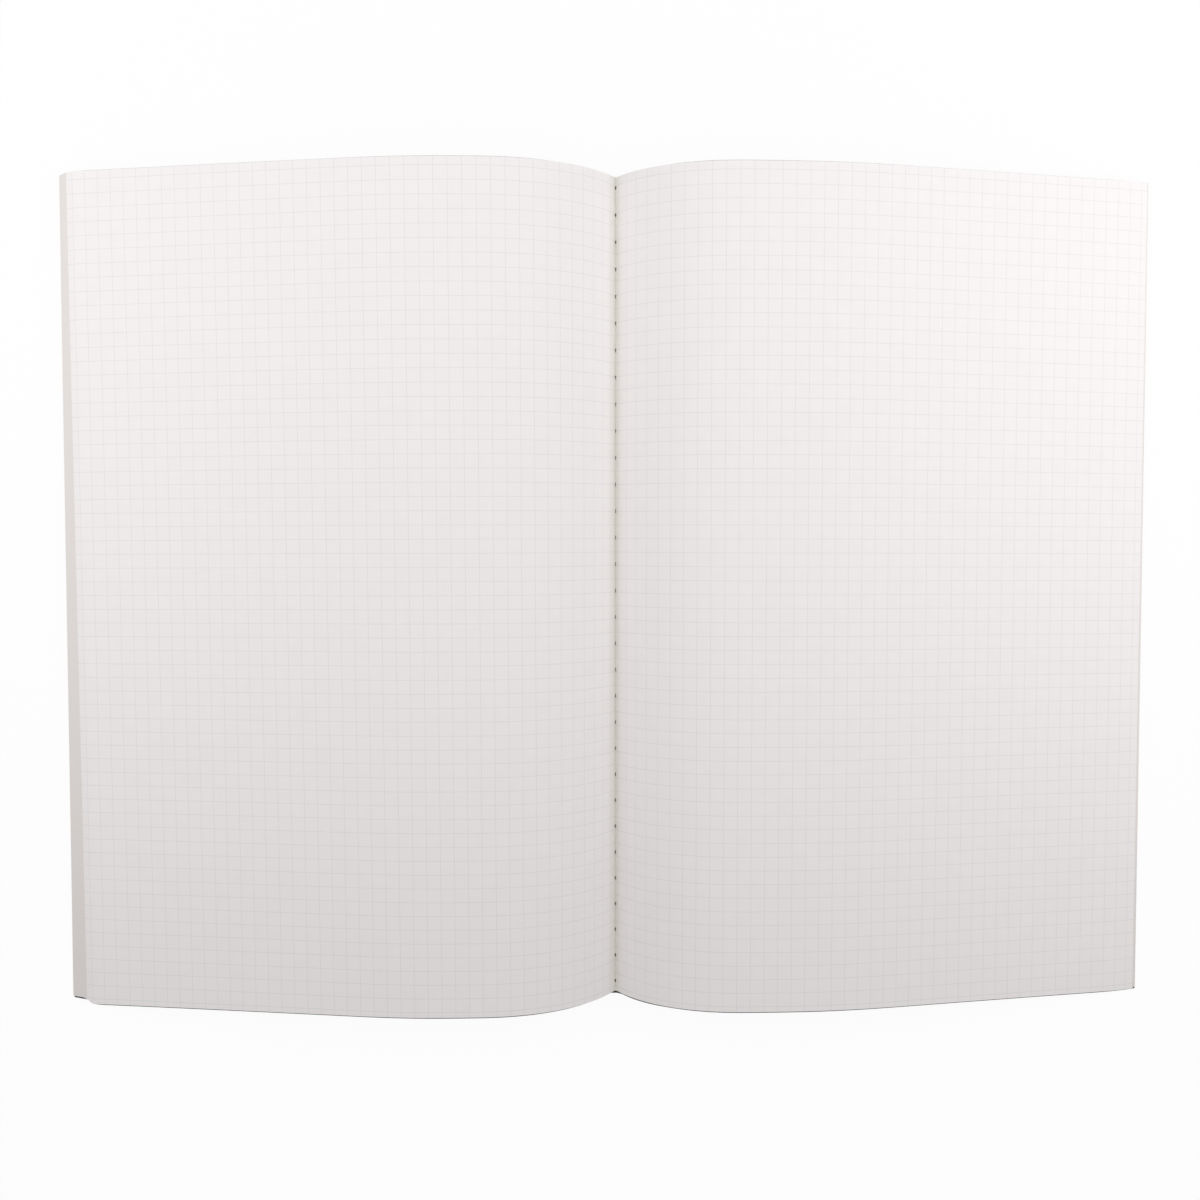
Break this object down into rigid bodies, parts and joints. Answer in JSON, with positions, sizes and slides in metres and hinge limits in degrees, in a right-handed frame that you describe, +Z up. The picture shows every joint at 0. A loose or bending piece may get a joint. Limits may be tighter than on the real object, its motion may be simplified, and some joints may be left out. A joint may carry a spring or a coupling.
{
  "type": "notebook",
  "caption": "Soft-covered grid-ruled notebook with a thread-sewn fold, lying open at its middle; the front half shuts and the top leaf lifts.",
  "frame": {"origin": "centre of the open notebook's footprint, on the surface it lies on", "axes": "+X across the open pages towards the back half, +Y up the page towards the head, +Z up"},
  "size_m": [0.4061, 0.3068, 0.0288],
  "materials": {
    "paper": "uncoated white writing paper printed with a fine pale grid",
    "card": "dark navy matt card",
    "thread": "natural sewing thread"
  },
  "bodies": {
    "back_half": {"back_cover": "card", "cover_spine": "card", "inner_thread": "thread", "outer_thread": "thread", "right_leaf_02": "paper", "right_leaf_03": "paper", "right_leaf_04": "paper", "right_leaf_05": "paper", "right_leaf_06": "paper", "right_leaf_07": "paper", "right_leaf_08": "paper", "right_leaf_09": "paper", "right_leaf_10": "paper", "right_leaf_11": "paper", "right_leaf_12": "paper", "right_leaf_13": "paper", "right_leaf_14": "paper", "right_leaf_15": "paper", "right_leaf_16": "paper", "right_leaf_17": "paper", "right_leaf_18": "paper", "right_leaf_19": "paper", "right_leaf_20": "paper"},
    "front_half": {"front_cover": "card", "left_leaf_01": "paper", "left_leaf_02": "paper", "left_leaf_03": "paper", "left_leaf_04": "paper", "left_leaf_05": "paper", "left_leaf_06": "paper", "left_leaf_07": "paper", "left_leaf_08": "paper", "left_leaf_09": "paper", "left_leaf_10": "paper", "left_leaf_11": "paper", "left_leaf_12": "paper", "left_leaf_13": "paper", "left_leaf_14": "paper", "left_leaf_15": "paper", "left_leaf_16": "paper", "left_leaf_17": "paper", "left_leaf_18": "paper", "left_leaf_19": "paper", "left_leaf_20": "paper"},
    "top_leaf": {"right_leaf_01": "paper"}
  },
  "joints": [
    {"name": "cover_fold", "type": "hinge", "parent": "back_half", "child": "front_half", "pos_m": [0, 0, 0.00284], "axis": [0, 1, 0], "range_deg": [0, 180], "deforming": ["left_leaf_01", "left_leaf_02", "left_leaf_03", "left_leaf_04", "left_leaf_05", "left_leaf_06", "left_leaf_07", "left_leaf_08", "left_leaf_09", "left_leaf_10", "left_leaf_11", "left_leaf_12", "left_leaf_13", "left_leaf_14", "left_leaf_15", "left_leaf_16", "left_leaf_17", "left_leaf_18", "left_leaf_19", "left_leaf_20", "front_cover", "right_leaf_01", "right_leaf_02", "right_leaf_03", "right_leaf_04", "right_leaf_05", "right_leaf_06", "right_leaf_07", "right_leaf_08", "right_leaf_09", "right_leaf_10", "right_leaf_11", "right_leaf_12", "right_leaf_13", "right_leaf_14", "right_leaf_15", "right_leaf_16", "right_leaf_17", "right_leaf_18", "right_leaf_19", "right_leaf_20", "back_cover"]},
    {"name": "leaf_turn", "type": "hinge", "parent": "back_half", "child": "top_leaf", "pos_m": [0, 0, 0.00284], "axis": [0, 1, 0], "range_deg": [-70, 0]}
  ]
}
